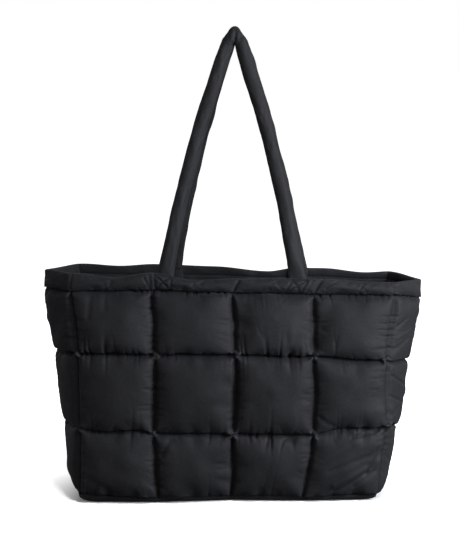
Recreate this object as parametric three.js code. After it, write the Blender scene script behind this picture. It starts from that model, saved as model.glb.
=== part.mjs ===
import * as THREE from "three";

// A quilted tote bag that stands on its base, in millimetres with +Z up and its front towards -Y.

// Body
const BODY_HEIGHT = 271; // floor to rim, in the middle
const RIM_WIDTH = 472; // side seam to side seam at the rim
const RIM_CORNER_WIDTH = 398; // corner seam to corner seam at the rim
const RIM_DEPTH = 76; // front corner seam to back corner seam at the rim
const BASE_WIDTH = 386; // side seam to side seam at the base
const BASE_CORNER_WIDTH = 364; // corner seam to corner seam at the base
const BASE_DEPTH = 140; // front corner seam to back corner seam at the base
const FRONT_BOW = 8; // how far the middle of a face stands out from its corner seams
const RIM_TILT = 15; // the left end of the rim stands this much higher than the right
const ROW_SMILE = 5; // the ends of the lowest row line stand this much higher than its middle
const BASE_LEAN = 7; // the base lies this far to the left of the rim

// Padding
const SEAM_THICKNESS = 3; // wall where it is stitched through
const PUFF_OUT = 13; // crown of a square, on the outside
const PUFF_IN = 6; // crown of a square, on the inside
const SEAM_BOW = 2; // a seam between two crossings stands this far out
const BAND_PUFF_OUT = 3.4; // crown of the hem, on the outside
const BAND_PUFF_IN = 2; // crown of the hem, on the inside
const BAND_DENT = 0.45; // what is left of the hem's crown where an upright seam crosses it
const SQUARE_ROUNDING = 2.5; // higher makes a square's middle flatter
const SQUARE_FILLING = 0.55; // lower makes a square rise more steeply from its seams
const BASE_SEAM_LIFT = 2; // stitched lines under the base stay this far off the floor
const BASE_PUFF = 7; // crown of a base square, inside the bag
const BASE_FLATNESS = 1.6; // how far out from its middle a base square lies flat on the floor
const BASE_EDGE = 1; // how far the base's edge rounds out past its seam
const BASE_EDGE_HEIGHT = 2.5; // how high its widest line lies

// Handles
const HANDLE_RISE = 306; // rim to the top of the handles
const HANDLE_WIDTH = 18; // across a leg, seen from the front
const HANDLE_DEPTH = 16; // the same, seen from the side
const HANDLE_TAB_WIDTH = 22; // flat sewn end
const HANDLE_TAB_DEPTH = 5;
const HANDLE_TAB_DROP = 16; // how far the flat end reaches down behind the hem
const LEG_BOW = 5.5; // a leg bows outward from the straight line by this much
const FOLD_HEIGHT = 24; // the tube where it is folded over at the top
const FOLD_RADIUS = 0.8; // inside of the fold
const FOLD_PEAK = 4; // higher makes the folded top more pointed
const FOLD_X = 4.5; // the fold lies this far to the right of the middle
const FOLD_SLANT = THREE.MathUtils.degToRad(18); // a leg's slant where it meets the fold
const FILL_LENGTH = 60; // above the rim the flat end fills out to a full tube over this length
const SIDES = 12; // sides of a handle's section
const LEG_STEPS = 16; // sections of a leg
const FOLD_STEPS = 8; // sections of the fold

const GAP = 0.3; // clearance between sewn pieces

// Lines of stitching from the base to the rim. up is a share of BODY_HEIGHT; side, corner and depth are
// shares of the way from the base's size to the rim's; bow, tilt, smile and lean are shares of their sizes.
const LEVELS = [
  { name: "base seam", up: 0.026, side: 0, corner: 0, depth: 0, bow: 0.3, tilt: 0, smile: 0.5, lean: 1 },
  { name: "low row", up: 0.32, side: 0.36, corner: 0.32, depth: 0.02, bow: 1, tilt: 0, smile: 1, lean: 0.5 },
  { name: "high row", up: 0.653, side: 0.66, corner: 0.4, depth: 0.3, bow: 1, tilt: 0.65, smile: 0, lean: 0.2 },
  { name: "hem seam", up: 0.932, side: 0.95, corner: 0.77, depth: 0.86, bow: 0.8, tilt: 0.5, smile: 0, lean: 0 },
  { name: "rim", up: 1, side: 1, corner: 1, depth: 1, bow: 1, tilt: 1, smile: 0, lean: 0 },
];
const BASE_LEVEL = 0;
const HEM_LEVEL = 3;
const RIM_LEVEL = 4;

// Upright seams of one face between its side seams: x is a share of the corner seam's place and
// out is the share of the bow.
const UPRIGHTS = [
  { x: -1, out: 0 },
  { x: -0.49, out: 0.8 },
  { x: 0.015, out: 1 },
  { x: 0.535, out: 0.8 },
  { x: 1, out: 0 },
];
const COLUMNS = UPRIGHTS.length + 1; // four squares and a half square at each side

// Crown of each column and each row, as shares of PUFF_OUT and PUFF_IN
const COLUMN_CROWN = [0.75, 1, 1, 1, 1, 0.75];
const ROW_CROWN = [0.9, 1, 0.95];

// Places across one square where the surface is worked out
const SQUARE_STEPS = [0, 0.12, 0.34, 0.66, 0.88];

// Sections of the hem, from its seam to the rim: rise is a share of its height, crown of its puffs
const HEM_SECTIONS = [
  { rise: 0, crown: 0 },
  { rise: 0.3, crown: 0.9 },
  { rise: 0.72, crown: 1 },
  { rise: 1, crown: 0.1 },
];

// The handles' feet, counted in columns from the left side seam
const HANDLES = [
  { name: "front_handle", face: -1, left: 2.15, right: 3.745 },
  { name: "back_handle", face: 1, left: 2.215, right: 3.78 },
];

const { lerp, clamp } = THREE.MathUtils;

function cloth(color) {
  return new THREE.MeshStandardMaterial({ color, roughness: 0.55, metalness: 0 });
}

// One level of the body, between two lines of stitching where it isn't whole
function levelAt(level) {
  const low = Math.min(Math.floor(level), LEVELS.length - 2);
  const mix = {};
  for (const key of ["up", "side", "corner", "depth", "bow", "tilt", "smile", "lean"]) {
    mix[key] = lerp(LEVELS[low][key], LEVELS[low + 1][key], level - low);
  }
  return {
    z: mix.up * BODY_HEIGHT,
    side: lerp(BASE_WIDTH, RIM_WIDTH, mix.side) / 2,
    corner: lerp(BASE_CORNER_WIDTH, RIM_CORNER_WIDTH, mix.corner) / 2,
    depth: lerp(BASE_DEPTH, RIM_DEPTH, mix.depth) / 2,
    bow: mix.bow * FRONT_BOW,
    tilt: mix.tilt * RIM_TILT,
    smile: mix.smile * ROW_SMILE,
    lean: -mix.lean * BASE_LEAN,
  };
}

// A point of the body's middle surface. face is -1 at the front and 1 at the back, and across counts
// columns from the left side seam to the right one.
function wallPoint(face, across, level) {
  const at = levelAt(level);
  const ends = [
    { x: -at.side, y: 0 },
    ...UPRIGHTS.map((seam) => ({ x: seam.x * at.corner, y: at.depth + seam.out * at.bow })),
    { x: at.side, y: 0 },
  ];
  const column = clamp(Math.floor(across), 0, COLUMNS - 1);
  const share = across - column;
  const x = lerp(ends[column].x, ends[column + 1].x, share);
  const y = lerp(ends[column].y, ends[column + 1].y, share);
  return new THREE.Vector3(x + at.lean, face * y, heightAt(at, x));
}

// Height of a line of stitching at x, counted from the middle of that line
function heightAt(at, x) {
  const toSide = x / at.side;
  return at.z - (at.tilt * toSide) / 2 + at.smile * toSide ** 2;
}

// The level direction that points out of the bag at a point of the wall
function outward(face, across, level) {
  if (across <= 0 || across >= COLUMNS) {
    return new THREE.Vector3(Math.sign(across - COLUMNS / 2), 0, 0);
  }
  const reach = 0.03;
  const before = wallPoint(face, across - reach, level);
  const along = wallPoint(face, across + reach, level).sub(before);
  return new THREE.Vector3(-face * along.y, face * along.x, 0).normalize();
}

// How full a square is, from 0 at its seams to 1 in its middle
function fullness(share) {
  return (1 - Math.abs(2 * share - 1) ** SQUARE_ROUNDING) ** SQUARE_FILLING;
}

function stations(count) {
  const places = [];
  for (let square = 0; square < count; square += 1) {
    SQUARE_STEPS.forEach((step) => places.push({ square, share: step, at: square + step }));
  }
  places.push({ square: count - 1, share: 1, at: count });
  return places;
}

// A closed slab between two surfaces, each a list of rows of points. The first surface faces out.
function slabGeometry(outer, inner, flip) {
  const rows = outer.length;
  const columns = outer[0].length;
  const positions = [...outer.flat(), ...inner.flat()].flatMap((point) => point.toArray());
  const outerAt = (row, column) => row * columns + column;
  const innerAt = (row, column) => rows * columns + row * columns + column;
  const triangles = [];
  const quad = (a, b, c, d) => {
    triangles.push([a, b, c], [a, c, d]);
  };
  for (let row = 0; row < rows - 1; row += 1) {
    for (let column = 0; column < columns - 1; column += 1) {
      const right = column + 1;
      const above = row + 1;
      quad(outerAt(row, column), outerAt(row, right), outerAt(above, right), outerAt(above, column));
      quad(innerAt(row, column), innerAt(above, column), innerAt(above, right), innerAt(row, right));
    }
  }
  for (let column = 0; column < columns - 1; column += 1) {
    const top = rows - 1;
    const right = column + 1;
    quad(outerAt(0, column), innerAt(0, column), innerAt(0, right), outerAt(0, right));
    quad(outerAt(top, column), outerAt(top, right), innerAt(top, right), innerAt(top, column));
  }
  for (let row = 0; row < rows - 1; row += 1) {
    const last = columns - 1;
    const above = row + 1;
    quad(outerAt(row, 0), outerAt(above, 0), innerAt(above, 0), innerAt(row, 0));
    quad(outerAt(row, last), innerAt(row, last), innerAt(above, last), outerAt(above, last));
  }
  return geometryOf(positions, triangles, flip);
}

function geometryOf(positions, triangles, flip) {
  const ordered = flip ? triangles.map(([a, b, c]) => [a, c, b]) : triangles;
  const geometry = new THREE.BufferGeometry();
  geometry.setAttribute("position", new THREE.Float32BufferAttribute(positions, 3));
  geometry.setIndex(ordered.flat());
  geometry.computeVertexNormals();
  return geometry;
}

// A point of the wall moved out of the bag, or into it where the distance is negative
function offsetPoint(face, across, level, distance, rise) {
  const point = wallPoint(face, across, level);
  point.addScaledVector(outward(face, across, level), distance);
  point.z += rise;
  if (across <= 0 || across >= COLUMNS) {
    point.y = (face * GAP) / 2;
  }
  return point;
}

// Clearance above the lowest and below the highest line of a piece
function edgeRise(share) {
  return share === 0 ? GAP / 2 : share === 1 ? -GAP / 2 : 0;
}

function panelGeometry(face) {
  const surface = (direction, puff) =>
    stations(ROW_CROWN.length).map((up) =>
      stations(COLUMNS).map((across) => {
        const crown = puff * COLUMN_CROWN[across.square] * ROW_CROWN[up.square];
        const full = fullness(across.share) * fullness(up.share);
        const edge = Math.max(fullness(across.share), fullness(up.share)) * SEAM_BOW;
        const atBorder = up.at === 0 || up.at === HEM_LEVEL;
        const bow = atBorder ? 0 : edge * COLUMN_CROWN[across.square];
        const distance = direction * (SEAM_THICKNESS / 2 + crown * full) + bow * (1 - full);
        return offsetPoint(face, across.at, up.at, distance, edgeRise(up.at / HEM_LEVEL));
      }),
    );
  return slabGeometry(surface(1, PUFF_OUT), surface(-1, PUFF_IN), face > 0);
}

function bandGeometry(face) {
  const surface = (direction, puff, dents) =>
    HEM_SECTIONS.map((section) =>
      stations(COLUMNS).map((across) => {
        const full = dents ? lerp(BAND_DENT, 1, fullness(across.share)) : 1;
        const distance = direction * (SEAM_THICKNESS / 2 + puff * section.crown * full);
        const level = HEM_LEVEL + section.rise;
        const rise = section.rise === 0 ? GAP / 2 : 0;
        return offsetPoint(face, across.at, level, distance, rise);
      }),
    );
  return slabGeometry(surface(1, BAND_PUFF_OUT, true), surface(-1, BAND_PUFF_IN, false), face > 0);
}

// The base is a grid between the two faces' lowest lines, two squares deep.
function baseGeometry() {
  const squaresAcross = COLUMNS - 2;
  const squaresDeep = 2;
  const at = levelAt(BASE_LEVEL);
  const surface = (isTop) =>
    stations(squaresDeep).map((deep) =>
      stations(squaresAcross).map((across) => {
        const toBack = deep.at - 1;
        const face = toBack < 0 ? -1 : 1;
        const edge = wallPoint(face, across.at + 1, BASE_LEVEL);
        const x = (edge.x - at.lean) * lerp(at.side / at.corner, 1, Math.abs(toBack));
        const point = new THREE.Vector3(x + at.lean, edge.y * Math.abs(toBack), 0);
        const full = fullness(across.share) * fullness(deep.share);
        const atEnd = across.at === 0 || across.at === squaresAcross;
        const atSide = deep.at === 0 || deep.at === squaresDeep;
        const spread = isTop ? -SEAM_THICKNESS / 2 : BASE_EDGE;
        point.x += atEnd ? spread * Math.sign(across.at - 1) : 0;
        point.y += atSide ? spread * face : 0;
        const onBorder = atEnd || atSide;
        if (isTop) {
          const inside = BASE_SEAM_LIFT + SEAM_THICKNESS + BASE_PUFF * full;
          point.z = onBorder ? heightAt(at, x) - GAP / 2 : inside;
        } else {
          const lift = BASE_SEAM_LIFT * (1 - Math.min(1, BASE_FLATNESS * full));
          point.z = onBorder ? BASE_EDGE_HEIGHT : lift;
        }
        return point;
      }),
    );
  return slabGeometry(surface(true), surface(false), false);
}

// One section of a handle: an ellipse about center, with its half sizes along two axes
function ring(center, widthAxis, halfWidth, depthAxis, halfDepth) {
  const points = [];
  for (let side = 0; side < SIDES; side += 1) {
    const angle = (2 * Math.PI * side) / SIDES;
    const point = center.clone();
    point.addScaledVector(widthAxis, halfWidth * Math.cos(angle));
    point.addScaledVector(depthAxis, halfDepth * Math.sin(angle));
    points.push(point);
  }
  return points;
}

function tubeGeometry(rings) {
  const positions = rings.flat().flatMap((point) => point.toArray());
  const at = (section, side) => section * SIDES + (side % SIDES);
  const triangles = [];
  for (let section = 0; section < rings.length - 1; section += 1) {
    for (let side = 0; side < SIDES; side += 1) {
      const near = at(section, side);
      const across = at(section + 1, side + 1);
      triangles.push([near, at(section, side + 1), across], [near, across, at(section + 1, side)]);
    }
  }
  for (let side = 1; side < SIDES - 1; side += 1) {
    triangles.push([at(0, 0), at(0, side + 1), at(0, side)]);
    triangles.push([at(rings.length - 1, 0), at(rings.length - 1, side), at(rings.length - 1, side + 1)]);
  }
  return geometryOf(positions, triangles, true);
}

// Sections of one leg, from its flat sewn end up to the fold. side is -1 for the left leg.
function legRings(face, foot, side, foldAt) {
  const seat = SEAM_THICKNESS / 2 + BAND_PUFF_IN + GAP + HANDLE_TAB_DEPTH / 2;
  const rim = offsetPoint(face, foot, RIM_LEVEL, -seat, 0);
  const toBack = outward(face, foot, RIM_LEVEL).multiplyScalar(face);
  const flat = new THREE.Vector3(toBack.y, -toBack.x, 0).multiplyScalar(side);
  const hemSlope = wallPoint(face, foot, RIM_LEVEL).sub(wallPoint(face, foot, HEM_LEVEL));
  const rings = [];
  for (const drop of [HANDLE_TAB_DROP, HANDLE_TAB_DROP / 2, 0]) {
    const center = rim.clone().addScaledVector(hemSlope, -drop / hemSlope.z);
    rings.push(ring(center, flat, HANDLE_TAB_WIDTH / 2, toBack, HANDLE_TAB_DEPTH / 2));
  }
  const reach = FOLD_RADIUS + HANDLE_WIDTH / 2;
  const foldAxis = new THREE.Vector3(side * Math.cos(FOLD_SLANT), 0, Math.sin(FOLD_SLANT));
  const end = foldAt.clone().addScaledVector(foldAxis, reach);
  const middle = rim.clone().lerp(end, 0.5);
  middle.x += side * 2 * LEG_BOW;
  const leg = new THREE.QuadraticBezierCurve3(rim, middle, end);
  const fillShare = FILL_LENGTH / leg.getLength();
  const depthAxis = new THREE.Vector3(0, 1, 0);
  for (let step = 1; step < LEG_STEPS; step += 1) {
    const share = step / LEG_STEPS;
    const center = leg.getPoint(share);
    const along = leg.getTangent(share);
    const widthAxis = new THREE.Vector3(side * along.z, 0, -side * along.x).normalize();
    const filled = Math.sqrt(Math.min(1, share / fillShare));
    const halfWidth = lerp(HANDLE_TAB_WIDTH, HANDLE_WIDTH, filled) / 2;
    const halfDepth = lerp(HANDLE_TAB_DEPTH, HANDLE_DEPTH, filled) / 2;
    rings.push(ring(center, widthAxis, halfWidth, depthAxis, halfDepth));
  }
  return rings;
}

function handleGeometry({ face, left, right }) {
  const foldY = (face * (HANDLE_DEPTH + GAP)) / 2;
  const foldAt = new THREE.Vector3(FOLD_X, foldY, BODY_HEIGHT + HANDLE_RISE - FOLD_HEIGHT);
  const rings = legRings(face, left, -1, foldAt);
  const sweep = Math.PI - 2 * FOLD_SLANT;
  for (let step = 0; step <= FOLD_STEPS; step += 1) {
    const share = step / FOLD_STEPS;
    const angle = Math.PI - FOLD_SLANT - share * sweep;
    const axis = new THREE.Vector3(Math.cos(angle), 0, Math.sin(angle));
    const peak = Math.sin(Math.PI * share) ** FOLD_PEAK;
    const length = lerp(HANDLE_WIDTH, FOLD_HEIGHT - FOLD_RADIUS, peak);
    const center = foldAt.clone().addScaledVector(axis, FOLD_RADIUS + length / 2);
    const depthAxis = new THREE.Vector3(0, 1, 0);
    rings.push(ring(center, axis, length / 2, depthAxis, HANDLE_DEPTH / 2));
  }
  const rightRings = legRings(face, right, 1, foldAt);
  rightRings.reverse().forEach((section) => rings.push(section));
  return tubeGeometry(rings);
}

function addPiece(parent, name, geometry, color) {
  const mesh = new THREE.Mesh(geometry, cloth(color));
  mesh.name = name;
  parent.add(mesh);
}

const bag = new THREE.Group();
addPiece(bag, "front_panel", panelGeometry(-1), 0x232427);
addPiece(bag, "back_panel", panelGeometry(1), 0x232427);
addPiece(bag, "base_panel", baseGeometry(), 0x1c1c1e);
addPiece(bag, "front_band", bandGeometry(-1), 0x26272b);
addPiece(bag, "back_band", bandGeometry(1), 0x26272b);
for (const handle of HANDLES) {
  addPiece(bag, handle.name, handleGeometry(handle), 0x2a2b2f);
}

export default bag;
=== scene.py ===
"""The looks of a quilted tote bag: padded cloth, tube handles, stitching, floor, light and camera."""
import math
from itertools import combinations

import bpy
import numpy as np
from mathutils import Matrix, Vector


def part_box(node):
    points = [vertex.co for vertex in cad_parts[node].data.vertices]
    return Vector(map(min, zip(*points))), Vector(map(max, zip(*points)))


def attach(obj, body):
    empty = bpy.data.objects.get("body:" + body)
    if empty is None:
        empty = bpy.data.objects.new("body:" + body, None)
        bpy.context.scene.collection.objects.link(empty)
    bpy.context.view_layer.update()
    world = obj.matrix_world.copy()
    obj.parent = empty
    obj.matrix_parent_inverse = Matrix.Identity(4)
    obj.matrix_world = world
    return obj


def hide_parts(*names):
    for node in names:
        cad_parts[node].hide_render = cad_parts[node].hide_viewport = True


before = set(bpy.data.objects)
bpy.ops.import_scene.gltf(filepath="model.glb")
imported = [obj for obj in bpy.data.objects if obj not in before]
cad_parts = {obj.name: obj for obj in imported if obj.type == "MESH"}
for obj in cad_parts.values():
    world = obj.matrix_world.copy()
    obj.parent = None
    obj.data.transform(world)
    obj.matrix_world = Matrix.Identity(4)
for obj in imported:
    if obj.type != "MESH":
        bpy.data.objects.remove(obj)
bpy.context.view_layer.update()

MM = 0.001

# Body, as in the frame
hem_low, hem_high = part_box("front_band")
RIM_TILT = 15 * MM
SEAM_HALF = 1.5 * MM  # half the wall where it is stitched through
BODY_HEIGHT = hem_high.z - RIM_TILT / 2
HEM_SIDE_PUFF = 0.9 * MM  # how far the frame's hem stands out past its wall at the side seams
RIM_HALF = (hem_high.x - hem_low.x) / 2 - SEAM_HALF - HEM_SIDE_PUFF
RIM_CORNER_SHARE = 0.843
RIM_DEPTH_HALF = 38 * MM
BASE_SHARE = 0.818  # the base's width as a share of the rim's
BASE_HALF = RIM_HALF * BASE_SHARE
BASE_CORNER_SHARE = 0.943
BASE_DEPTH_HALF = 70 * MM
FRONT_BOW = 8 * MM
ROW_SMILE = 5 * MM
BASE_LEAN = 7 * MM
GAP = 0.3 * MM
UP = np.array([0.0, 0.0, 1.0])
BACKWARD = np.array([0.0, 1.0, 0.0])

# Padding
PUFF_OUT = 10 * MM  # crown of a square before it fills out
PUFF_IN = 6 * MM
SEAM_BOW = 2 * MM
HEM_PUFF_OUT = 3 * MM
HEM_SHOULDER = 0.6  # the height of the hem's crown, as a share of the hem's
HEM_PUFF_IN = 2 * MM
SQUARE_ROUNDING = 2.5  # higher makes a square's middle flatter
SQUARE_FILLING = 0.42  # lower makes a square rise more steeply from its seams

# Crown of each square, as a share of PUFF_OUT and PUFF_IN, one row for each row of squares from the base up
CROWNS = np.array(
    (
        (0.35, 0.9, 0.9, 0.9, 0.9, 0.5),
        (0.55, 1, 1, 1, 1, 0.7),
        (0.65, 0.95, 0.95, 0.95, 0.95, 0.7),
    )
)

# Lines of stitching from the base seam to the rim. up is a share of the body's height; side, corner and
# depth are shares of the way from the base's size to the rim's; the rest are shares of their own sizes.
LEVELS = {
    "up": (0.026, 0.32, 0.653, 0.932, 1),
    "side": (0, 0.36, 0.66, 0.95, 1),
    "corner": (0, 0.32, 0.4, 0.77, 1),
    "depth": (0, 0.02, 0.3, 0.86, 1),
    "bow": (0.3, 1, 1, 0.8, 1),
    "tilt": (0, 0, 0.65, 0.5, 1),
    "smile": (0.5, 1, 0, 0, 0),
    "lean": (1, 0.5, 0.2, 0, 0),
}
BASE_LEVEL = 0
HEM_LEVEL = 3
RIM_LEVEL = 4

# Upright seams of one face: x is a share of the corner seam's place, out a share of the bow
UPRIGHT_X = (-1, -0.49, 0.015, 0.535, 1)
UPRIGHT_OUT = (0, 0.8, 1, 0.8, 0)
COLUMNS = len(UPRIGHT_X) + 1
ROWS = HEM_LEVEL

# How far the front's seams have slipped from their even places, in mm: one row for each line of LEVELS, one
# value for each upright line, the two side seams included
SLIP_ACROSS = (
    (-4, 0, 5, 2, -5, 0, -6),
    (0, 2.5, -2.5, 1, 0.5, 2.5, -2.5),
    (0, 1, -0.5, 2.5, -1, -1, -3.5),
    (-2, -4, -4, -3, -6, 2, -0.5),
    (3, -1, -4, 6, 3, 2, -3),
)
SLIP_UP = (
    (9, 2, -2, -0.5, -2.5, -2, 1),
    (-5, -1, -0.5, -2, -4, 4, -14),
    (-3.5, -0.5, 3.5, 4, 4, -2.5, -9),
    (0, 1, 4, 2, 1, 0.5, -8),
    (0, 0, 0, 0, 0, 0, 0),
)
SLIP_OUT = (
    (0, 12, 12, 2, 6, 3, 0),
    (0, 2, 2, 0, 1, 0, 0),
    *[(0,) * (COLUMNS + 1)] * 3,
)
BACK_SLIP = -0.5  # the back's inner seams slip less, and the other way

# Waves of the soft rim: shares of the way from its middle to its sides, and how far it stands up, in mm
RIM_WAVES = {
    -1: (
        ((-1, 0), (-0.82, 1.5), (-0.62, -2), (-0.41, 5), (-0.2, -2.5)),
        ((0.03, 0.5), (0.3, 2.5), (0.5, 2.5), (0.72, 0), (1, 0)),
    ),
    1: (
        ((-1, 0), (-0.8, 3.5), (-0.62, 1.5), (-0.42, 4.5), (-0.1, 3.5), (0.18, -1)),
        ((0.35, 4.5), (0.5, 5), (0.7, 1.5), (0.86, 4), (1, 0)),
    ),
}

FACES = {"front": -1, "back": 1}
FEET = {"front": (2.15, 3.745), "back": (2.215, 3.78)}  # the handles' feet, counted in columns


def lerp(a, b, share):
    return a + (b - a) * share


def level_at(level):
    mix = {key: np.interp(level, range(len(shares)), shares) for key, shares in LEVELS.items()}
    return {
        "z": mix["up"] * BODY_HEIGHT,
        "side": lerp(BASE_HALF, RIM_HALF, mix["side"]),
        "corner": lerp(BASE_HALF * BASE_CORNER_SHARE, RIM_HALF * RIM_CORNER_SHARE, mix["corner"]),
        "depth": lerp(BASE_DEPTH_HALF, RIM_DEPTH_HALF, mix["depth"]),
        "bow": mix["bow"] * FRONT_BOW,
        "tilt": mix["tilt"] * RIM_TILT,
        "smile": mix["smile"] * ROW_SMILE,
        "lean": -mix["lean"] * BASE_LEAN,
    }


def height_at(at, x):
    to_side = x / at["side"]
    return at["z"] - at["tilt"] * to_side / 2 + at["smile"] * to_side**2


def wall(face, across, level):
    """Points of the body's middle surface. across counts columns from the left side seam."""
    across, level = np.broadcast_arrays(np.asarray(across, float), np.asarray(level, float))
    at = level_at(level)
    none = np.zeros_like(at["side"])
    xs = np.stack([-at["side"], *(x * at["corner"] for x in UPRIGHT_X), at["side"]])
    ys = np.stack([none, *(at["depth"] + out * at["bow"] for out in UPRIGHT_OUT), none])
    column = np.clip(np.floor(across), 0, COLUMNS - 1).astype(int)
    share = across - column

    def between(table):
        low = np.take_along_axis(table, column[None], 0)[0]
        high = np.take_along_axis(table, column[None] + 1, 0)[0]
        return lerp(low, high, share)

    x = between(xs)
    return np.stack([x + at["lean"], face * between(ys), height_at(at, x)], -1)


def outward(face, across, level):
    """Level directions that point out of the bag."""
    across = np.asarray(across, float)
    reach = 0.03
    along = wall(face, across + reach, level) - wall(face, across - reach, level)
    normal = np.stack([-face * along[..., 1], face * along[..., 0], 0 * along[..., 0]], -1)
    ends = (across <= 0) | (across >= COLUMNS)
    normal[ends] = np.stack([np.sign(across - COLUMNS / 2), 0 * across, 0 * across], -1)[ends]
    return normal / np.linalg.norm(normal, axis=-1, keepdims=True)


def slip(face, table, across, level):
    """How far the stitching has slipped there, from a table of SLIP values."""
    moved = np.array(table, float)
    if face > 0:
        moved[:, 1:-1] *= BACK_SLIP
    across, level = np.broadcast_arrays(np.asarray(across, float), np.asarray(level, float))
    return on_grid(moved[..., None], level, across)[..., 0] * MM


def slipped_wall(face, across, level):
    points = wall(face, across, level)
    points[..., 0] += slip(face, SLIP_ACROSS, across, level)
    points[..., 1] += face * np.abs(slip(face, SLIP_OUT, across, level))
    points[..., 2] += slip(face, SLIP_UP, across, level)
    return points


# Grids

def fullness(share):
    """How full a square is, from 0 at its seams to 1 in its middle."""
    return (1 - np.abs(2 * share - 1) ** SQUARE_ROUNDING) ** SQUARE_FILLING


def stations(counts):
    """Places along a row of squares, with counts steps in each: (square, share of it, place)."""
    places = [square + step / count for square, count in enumerate(counts) for step in range(count)]
    places = np.array([*places, len(counts)], float)
    square = np.minimum(np.floor(places), len(counts) - 1).astype(int)
    return square, places - square, places


def smooth_noise(rng, shape, lump):
    """Smooth random values of about unit size over a grid. lump is the size of a lump in grid steps."""
    coarse = [max(4, int(count / size) + 4) for count, size in zip(shape, lump)]
    values = rng.standard_normal(coarse)
    for axis, count, size in ((0, shape[0], lump[0]), (1, shape[1], lump[1])):
        at = np.arange(count) / size + 1
        low = np.clip(np.floor(at).astype(int), 1, values.shape[axis] - 3)
        t = (at - low)[:, None] if axis == 0 else (at - low)[None, :]
        a, b, c, d = (np.take(values, low + k, axis) for k in (-1, 0, 1, 2))
        values = b + 0.5 * t * (c - a + t * (2 * a - 5 * b + 4 * c - d + t * (3 * (b - c) + d - a)))
    return values


def refine(grid):
    """A grid of points with a point added between each two, on smooth curves through them."""
    for axis in (0, 1):
        points = np.moveaxis(grid, axis, 0)
        padded = np.concatenate([2 * points[:1] - points[1:2], points, 2 * points[-1:] - points[-2:-1]])
        middle = (9 * (padded[1:-2] + padded[2:-1]) - padded[:-3] - padded[3:]) / 16
        finer = np.empty((2 * len(points) - 1, *points.shape[1:]))
        finer[::2] = points
        finer[1::2] = middle
        grid = np.moveaxis(finer, 0, axis)
    return grid


def on_grid(grid, row, column):
    """Points of a grid at places between its own points."""
    r = np.clip(np.floor(row).astype(int), 0, grid.shape[0] - 2)
    c = np.clip(np.floor(column).astype(int), 0, grid.shape[1] - 2)
    v, u = (row - r)[..., None], (column - c)[..., None]
    low = lerp(grid[r, c], grid[r, c + 1], u)
    return lerp(low, lerp(grid[r + 1, c], grid[r + 1, c + 1], u), v)


def grid_faces(rows, columns, start=0):
    at = start + np.arange(rows * columns).reshape(rows, columns)
    return np.stack([at[:-1, :-1], at[:-1, 1:], at[1:, 1:], at[1:, :-1]], -1).reshape(-1, 4)


def surface_normals(grid, face):
    """The outer side's directions of a face's grid of points."""
    normal = face * np.cross(np.gradient(grid, axis=0), np.gradient(grid, axis=1))
    return normal / np.maximum(np.linalg.norm(normal, axis=-1, keepdims=True), 1e-9)


def border_of(rows, columns, start=0):
    at = start + np.arange(rows * columns).reshape(rows, columns)
    return np.concatenate([at[0, :-1], at[:-1, -1], at[-1, :0:-1], at[:0:-1, 0], at[:1, 0]])


def new_mesh(name, points, faces):
    mesh = bpy.data.meshes.new(name)
    corners = [[int(k) for k in face] for face in faces]
    mesh.from_pydata(np.asarray(points).reshape(-1, 3).tolist(), [], corners)
    mesh.validate()
    mesh.polygons.foreach_set("use_smooth", [True] * len(mesh.polygons))
    obj = bpy.data.objects.new(name, mesh)
    bpy.context.scene.collection.objects.link(obj)
    return obj


def slab(name, outer, inner, flip):
    """A closed wall between two grids of points. The outer grid may be twice as fine as the inner one."""
    start = outer.shape[0] * outer.shape[1]
    faces = [*grid_faces(*outer.shape[:2]), *grid_faces(*inner.shape[:2], start)[:, ::-1]]
    rim = border_of(*outer.shape[:2])
    lining = border_of(*inner.shape[:2], start)
    ratio = (len(rim) - 1) // (len(lining) - 1)
    for k in range(len(lining) - 1):
        faces.append([*rim[ratio * k : ratio * k + ratio + 1][::-1], lining[k], lining[k + 1]])
    if flip:
        faces = [face[::-1] for face in faces]
    return new_mesh(name, np.concatenate([outer.reshape(-1, 3), inner.reshape(-1, 3)]), faces)


def add_piece(obj, node, material):
    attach(obj, "root")
    if node:
        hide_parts(node)
    obj.data.materials.append(material)


# Cloth

CLOTH_SCALE = 10  # the simulation runs on a larger copy, where it is steadier
CLOTH_FRAMES = 6


def settle(face, start, pinned, loose, most_loose, pressure, bending):
    """Lets a grid of cloth settle over its filling. loose, from 0 to 1, says where it is cut too large."""
    rows, columns = pinned.shape
    sheet = new_mesh("cloth", start * CLOTH_SCALE, grid_faces(rows, columns))
    sewn = sheet.vertex_groups.new(name="sewn")
    sewn.add([int(k) for k in np.flatnonzero(pinned)], 1, "REPLACE")
    gathered = sheet.vertex_groups.new(name="gathered")
    for k, weight in enumerate(loose.ravel().tolist()):
        gathered.add([k], weight, "REPLACE")
    modifier = sheet.modifiers.new("Cloth", "CLOTH")
    cloth = modifier.settings
    cloth.quality = 6
    cloth.mass = 0.02
    cloth.tension_stiffness = 60
    cloth.compression_stiffness = 60
    cloth.shear_stiffness = 15
    cloth.bending_stiffness = bending
    cloth.tension_damping = 15
    cloth.compression_damping = 15
    cloth.shear_damping = 10
    cloth.bending_damping = 0.5
    cloth.air_damping = 3
    cloth.vertex_group_mass = "sewn"
    cloth.pin_stiffness = 1
    cloth.vertex_group_shrink = "gathered"
    cloth.shrink_min = -0.01
    cloth.shrink_max = -most_loose
    cloth.use_pressure = True
    cloth.uniform_pressure_force = -face * pressure
    cloth.effector_weights.gravity = 0
    modifier.collision_settings.use_collision = False
    modifier.point_cache.frame_start = 1
    modifier.point_cache.frame_end = CLOTH_FRAMES
    for step in range(1, CLOTH_FRAMES + 1):
        bpy.context.scene.frame_set(step)
    settled = sheet.evaluated_get(bpy.context.evaluated_depsgraph_get())
    flat = np.empty(rows * columns * 3)
    settled.to_mesh().vertices.foreach_get("co", flat)
    settled.to_mesh_clear()
    bpy.context.scene.frame_set(1)
    bpy.data.objects.remove(sheet)
    return flat.reshape(rows, columns, 3) / CLOTH_SCALE


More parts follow.
